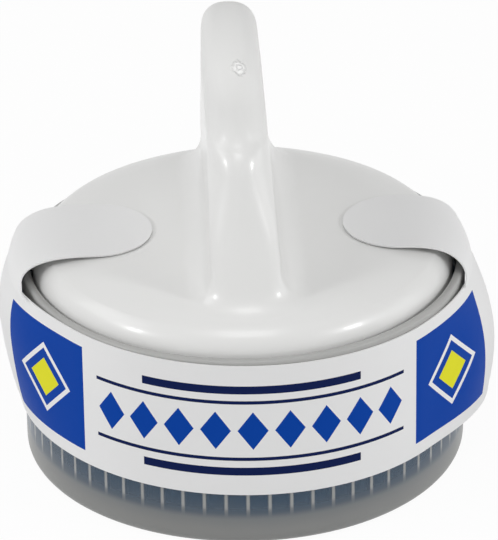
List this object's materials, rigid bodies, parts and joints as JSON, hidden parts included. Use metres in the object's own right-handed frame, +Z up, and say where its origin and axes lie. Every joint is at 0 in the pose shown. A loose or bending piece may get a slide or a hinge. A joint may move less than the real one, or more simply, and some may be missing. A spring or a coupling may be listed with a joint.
{
  "type": "shoe cream applicator",
  "caption": "Round sponge applicator with an upright fin handle, seated in a ribbed translucent storage cup and closed by a paper seal over the rim.",
  "frame": {"origin": "centre of the cup's foot on the surface it stands on", "axes": "+Z up along the cup's axis, -Y towards the front of the seal, X across the thin side of the fin"},
  "size_m": [0.0784, 0.0704, 0.0755],
  "materials": {
    "cup_plastic": "frosted translucent grey moulding, ribs on the inside",
    "seal_paper": "smooth coated label paper with a plain print",
    "handle_plastic": "glossy white moulding",
    "carrier_plastic": "plain white moulding",
    "adhesive": "double sided adhesive film",
    "sponge_foam": "dark open cell foam loaded with cream"
  },
  "bodies": {
    "cup": {"storage_cup": "cup_plastic", "label_strip": "seal_paper"},
    "applicator": {"applicator_handle": "handle_plastic", "sponge_carrier": "carrier_plastic", "adhesive_disc": "adhesive", "sponge": "sponge_foam", "label_tab_left": "seal_paper", "label_tab_right": "seal_paper"}
  },
  "joints": [
    {"name": "applicator_lift", "type": "slide", "parent": "cup", "child": "applicator", "axis": [0, 0, 1], "range_m": [0, 0.045]}
  ]
}
